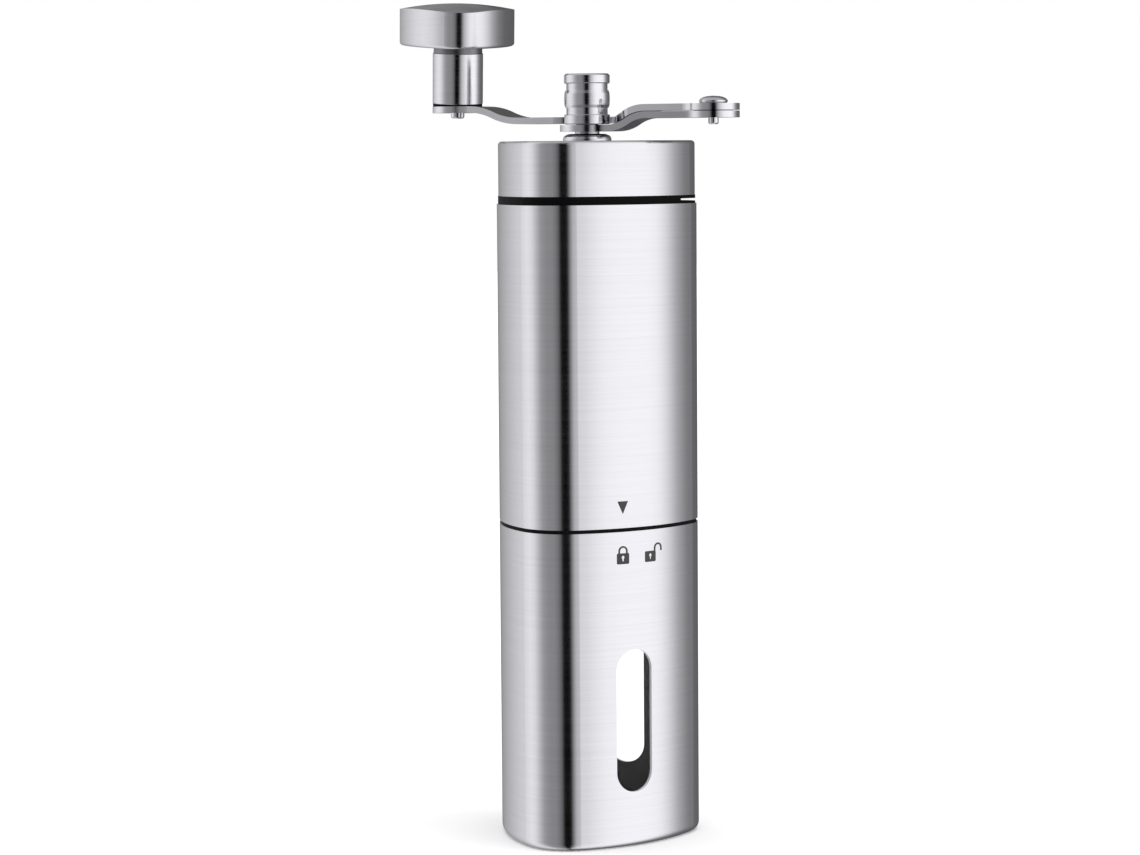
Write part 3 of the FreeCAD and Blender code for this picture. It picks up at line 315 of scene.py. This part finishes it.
def printed(name, loops, body, material):
    """Flat print on the front face, filled from outlines; inner outlines are left open."""
    mesh = bpy.data.meshes.new(name)
    shape = bmesh.new()
    edges = []
    for loop in loops:
        dense = []
        for first, second in zip(loop, loop[1:] + loop[:1]):
            steps = max(1, int(math.dist(first, second) / OUTLINE_STEP))
            dense += [(first[0] + (second[0] - first[0]) * k / steps,
                       first[1] + (second[1] - first[1]) * k / steps) for k in range(steps)]
        corners = [shape.verts.new((x, z, 0)) for x, z in dense]
        edges += [shape.edges.new((a, b)) for a, b in zip(corners, corners[1:] + corners[:1])]
    bmesh.ops.triangle_fill(shape, use_beauty=True, use_dissolve=False, edges=edges,
                            normal=(0, 0, 1))
    for corner in shape.verts:
        corner.co = on_front(corner.co.x, corner.co.y, FILM_PROUD)
    bmesh.ops.recalc_face_normals(shape, faces=shape.faces)
    shape.to_mesh(mesh)
    shape.free()
    piece = bpy.data.objects.new(name, mesh)
    bpy.context.collection.objects.link(piece)
    mesh.materials.append(material)
    film = piece.modifiers.new("film", "SOLIDIFY")
    film.thickness = FILM_THICK
    film.offset = 0
    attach(piece, body)
    return piece


def shackle(base, radius, thick, leg):
    """Half ring of a padlock's bow with two straight legs, as one outline."""
    spots = arc_points(base, radius, 0, 180, 14)
    spots += [(base[0] - radius, base[1] - leg), (base[0] - radius + thick, base[1] - leg)]
    spots += arc_points(base, radius - thick, 180, 0, 14)
    spots += [(base[0] + radius - thick, base[1] - leg), (base[0] + radius, base[1] - leg)]
    return spots


def keyhole(centre, radius):
    return arc_points(centre, radius, -60, 240, 12) + [
        (centre[0] - radius * 0.45, centre[1] - radius * 2.2),
        (centre[0] + radius * 0.45, centre[1] - radius * 2.2)]


# Printed marks, placed across the front face and above the table.
POINTER_ACROSS = -0.0066
POINTER_TOP = 0.0840
POINTER_WIDTH = 0.0028
POINTER_TALL = 0.0030
CASE_SIZE = (0.0033, 0.0026)
CASE_CORNER = 0.0003
KEYHOLE_RISE = 0.0003
KEYHOLE_RADIUS = 0.00042
BOW_RADIUS = 0.00125
BOW_THICK = 0.00042


def padlock(name, case_middle, bow_shift, leg, ink):
    """Padlock on the cup: a case with a keyhole, and a bow standing at `bow_shift` from it."""
    across, height = case_middle
    printed(name, [rounded_box(case_middle, *CASE_SIZE, CASE_CORNER),
                   keyhole((across, height + KEYHOLE_RISE), KEYHOLE_RADIUS)], "cup", ink)
    bow_middle = (across + bow_shift[0], height + bow_shift[1])
    printed(name + "_bow", [shackle(bow_middle, BOW_RADIUS, BOW_THICK, leg)], "cup", ink)


def marks(ink):
    """Pointer on the body, closed and open padlocks on the cup."""
    left = POINTER_ACROSS - POINTER_WIDTH / 2
    right = POINTER_ACROSS + POINTER_WIDTH / 2
    printed("mark_pointer", [[(left, POINTER_TOP), (right, POINTER_TOP),
                              (POINTER_ACROSS, POINTER_TOP - POINTER_TALL)]], "body", ink)
    padlock("mark_closed", (-0.0066, 0.0702), (0.0, 0.0018), 0.0006, ink)
    padlock("mark_open", (0.0014, 0.0702), (0.0024, 0.0019), 0.0007, ink)


# ---------------------------------------------------------------- studio

def face_camera_angle():
    """Direction from the object to the camera, as an angle about +Z."""
    return -math.pi / 2 - CAMERA_TURN


# Brightness seen around the object: angle to the right of the camera, level. The levels are not
# a plain even light: they were fitted to the reference picture's grey levels.
STUDIO = [(-180, 0.16), (-150, 0.56), (-134, 0.80), (-112, 1.12), (-96, 1.22), (-82, 1.08),
          (-70, 0.75), (-58, 0.47), (-44, 0.38), (-30, 0.36), (-21, 0.27), (-14, 0.15),
          (-10, 0.0), (6, 0.0), (10.5, 0.24), (18, 0.67), (27, 0.95), (36, 1.20), (46, 1.40),
          (58, 1.47), (70, 1.48), (80, 1.48), (88, 1.40), (96, 1.10), (105, 0.64),
          (116, 0.33), (130, 0.20), (180, 0.10)]


# The dome overhead: how steeply up it starts and is whole, and its grey.
DOME_START = 0.55
DOME_WHOLE = 0.95
DOME_COLOUR = (0.62, 0.62, 0.63, 1)

# Table and the soft light over it.
TABLE_SIZE = 3.0
TABLE_GLOW = 0.09
OVERHEAD_POWER = 1.85
OVERHEAD_SPREAD = math.radians(70)


def world_light():
    """Soft studio seen in the steel; plain white where the camera looks past the grinder."""
    world = bpy.data.worlds.new("studio")
    bpy.context.scene.world = world
    world.use_nodes = True
    graph = Graph(world.node_tree)
    way = graph.add("ShaderNodeTexCoord").outputs["Generated"]
    turned = graph.add("ShaderNodeVectorRotate", rotation_type="Z_AXIS")
    graph.link(way, turned.inputs["Vector"])
    turned.inputs["Angle"].default_value = -face_camera_angle()
    parts = graph.add("ShaderNodeSeparateXYZ")
    graph.link(turned.outputs[0], parts.inputs[0])
    around = graph.math("ARCTAN2", parts.outputs[1], parts.outputs[0])
    share = graph.span(around, -math.pi, math.pi, 0.0, 1.0)
    band = graph.ramp(share, [((a + 180) / 360, (v, v * 1.002, v * 1.01)) for a, v in STUDIO])
    lift = graph.span(parts.outputs[2], DOME_START, DOME_WHOLE, 0.0, 1.0)
    dome = graph.mix(lift, band, DOME_COLOUR)
    seen = graph.add("ShaderNodeLightPath").outputs["Is Camera Ray"]
    through = graph.add("ShaderNodeLightPath").outputs["Is Transmission Ray"]
    plain = graph.math("MAXIMUM", seen, through)
    colour = graph.mix(plain, dome, (1.0, 1.0, 1.0, 1))
    glow = graph.add("ShaderNodeBackground")
    graph.link(colour, glow.inputs["Color"])
    output = graph.add("ShaderNodeOutputWorld")
    graph.link(glow.outputs[0], output.inputs[0])


def floor():
    """Pale matt table the grinder stands on."""
    mesh = bpy.data.meshes.new("floor")
    shape = bmesh.new()
    bmesh.ops.create_grid(shape, x_segments=8, y_segments=8, size=TABLE_SIZE)
    shape.to_mesh(mesh)
    shape.free()
    table = bpy.data.objects.new("floor", mesh)
    bpy.context.collection.objects.link(table)
    material, graph, shader = new_material("pale_table")
    place = graph.add("ShaderNodeTexCoord").outputs["Object"]
    cloud = graph.noise(place, 12.0, 3.0)
    graph.link(graph.mix(cloud, grey(0.92), grey(0.94)), shader.inputs["Base Color"])
    shader.inputs["Roughness"].default_value = 0.9
    shader.inputs["Specular IOR Level"].default_value = 0.0
    shader.inputs["Emission Color"].default_value = (1.0, 1.0, 1.0, 1)
    shader.inputs["Emission Strength"].default_value = TABLE_GLOW
    mesh.materials.append(material)
    table.visible_glossy = False


def overhead_light():
    """Wide soft light from above, which brightens the table evenly."""
    light = bpy.data.lights.new("overhead", "SUN")
    light.energy = OVERHEAD_POWER
    light.angle = OVERHEAD_SPREAD
    lamp = bpy.data.objects.new("overhead", light)
    lamp.visible_glossy = False
    bpy.context.collection.objects.link(lamp)


def camera():
    lens = bpy.data.cameras.new("camera")
    lens.lens = CAMERA_LENS
    lens.sensor_width = SENSOR_WIDTH
    eye = bpy.data.objects.new("camera", lens)
    bpy.context.collection.objects.link(eye)
    turn_cos = math.cos(CAMERA_TURN)
    turn_sin = math.sin(CAMERA_TURN)
    eye.location = (CAMERA_ASIDE * turn_cos - CAMERA_DISTANCE * turn_sin,
                    -CAMERA_ASIDE * turn_sin - CAMERA_DISTANCE * turn_cos, CAMERA_HEIGHT)
    eye.rotation_mode = "QUATERNION"
    look = Vector((turn_sin, turn_cos, 0)) * math.cos(CAMERA_PITCH)
    look.z = -math.sin(CAMERA_PITCH)
    level = look.to_track_quat("-Z", "Y")
    eye.rotation_quaternion = level @ Quaternion((0, 0, 1), CAMERA_ROLL)
    bpy.context.scene.camera = eye


# ---------------------------------------------------------------- dress the frame

def dress():
    shell = brushed_steel("brushed_shell", 0.62, 0.22, 0.95, 30.0, SHELL_MIDDLE)
    knob = brushed_steel("brushed_knob", 0.60, 0.24, 0.92, 60.0, KNOB_MIDDLE)
    turned = satin_steel("turned_steel", 0.62, 0.15, (150.0, 150.0, 4000.0))
    link = satin_steel("stamped_steel", 0.62, 0.15, (160.0, 160.0, 160.0))
    shaft = satin_steel("machined_steel", 0.5, 0.3, (400.0, 400.0, 7000.0))
    # The knob core's dark steel is painted shade: its neck under the knob head is darkened to stand
    # for the shadow the head casts on it.
    core = satin_steel("core_steel_painted_shade", 0.2, 0.3, (150.0, 150.0, 3000.0))
    black = moulded("black_moulding", 0.018, 0.5, shine=0.3)
    band = moulded("band_moulding", 0.002, 0.6, shine=0.06)
    rubber = moulded("seal_rubber", 0.004, 0.7, 1800.0, shine=0.1)
    dial = moulded("dial_moulding", 0.03, 0.45)
    looks = {
        "cup_shell": shell, "body_shell": shell, "lid_shell": shell, "knob_head": knob,
        "knob_stem": turned, "lid_collar": turned, "thumb_nut": turned, "pivot_rivet": turned,
        "knob_pin": turned, "lower_link": link, "upper_link": link, "shaft": shaft,
        "shaft_clip": shaft, "spring_washer": shaft, "burr_spring": shaft,
        "lower_bush": brass("bush_brass"), "upper_bush": brass("bush_brass_upper"),
        "cup_liner": clear_plastic("clear_jar"), "cup_collar": black, "body_collar": black,
        "burr_housing": black, "top_frame": band, "lid_plug": black, "seam_seal": rubber,
        "knob_core": core, "pivot_washer": band, "knob_washer": band, "burr_driver": dial,
        "adjuster_dial": dial, "outer_burr": ceramic("burr_ceramic"),
        "inner_burr": ceramic("cone_ceramic")}
    for name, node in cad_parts.items():
        for spot in node.material_slots:
            spot.material = looks[name]


dress()
marks(print_ink("pad_print"))
world_light()
floor()
overhead_light()
camera()
bpy.context.scene.view_settings.view_transform = "Standard"
